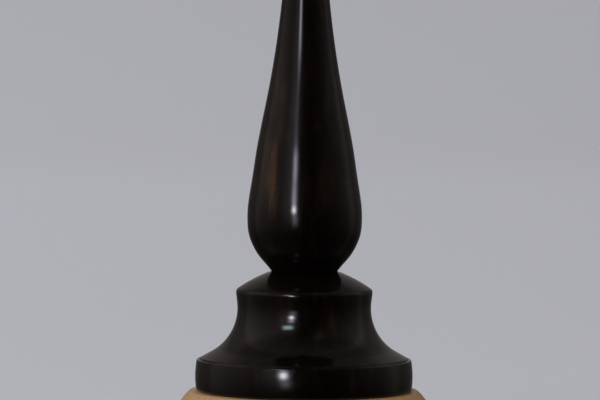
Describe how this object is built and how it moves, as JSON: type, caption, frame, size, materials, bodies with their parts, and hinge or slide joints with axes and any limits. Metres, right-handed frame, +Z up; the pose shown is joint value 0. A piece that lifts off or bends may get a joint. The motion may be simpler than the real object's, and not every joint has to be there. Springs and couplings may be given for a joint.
{
  "type": "drop spindle",
  "caption": "Lathe-turned bottom-whorl drop spindle for hand-spinning yarn: dark teardrop shaft and flared collar jammed in a pale wooden whorl, with a brass ferrule and hook.",
  "frame": {"origin": "centre of the whorl's foot, on the surface that the spindle stands on", "axes": "+Z up along the spindle's axis towards the hook; the hook's loop lies in the XZ plane and opens towards +X"},
  "size_m": [0.052, 0.052, 0.2635],
  "materials": {
    "pale_hardwood": "waxed satin",
    "dark_hardwood": "polished gloss",
    "brass": "polished"
  },
  "bodies": {
    "whorl": {"whorl": "pale_hardwood"},
    "spindle": {"collar": "dark_hardwood", "shaft": "dark_hardwood", "ferrule": "brass", "hook": "brass"}
  },
  "joints": [
    {"name": "shaft_lift", "type": "slide", "parent": "whorl", "child": "spindle", "axis": [0, 0, 1], "range_m": [0, 0.02]}
  ]
}
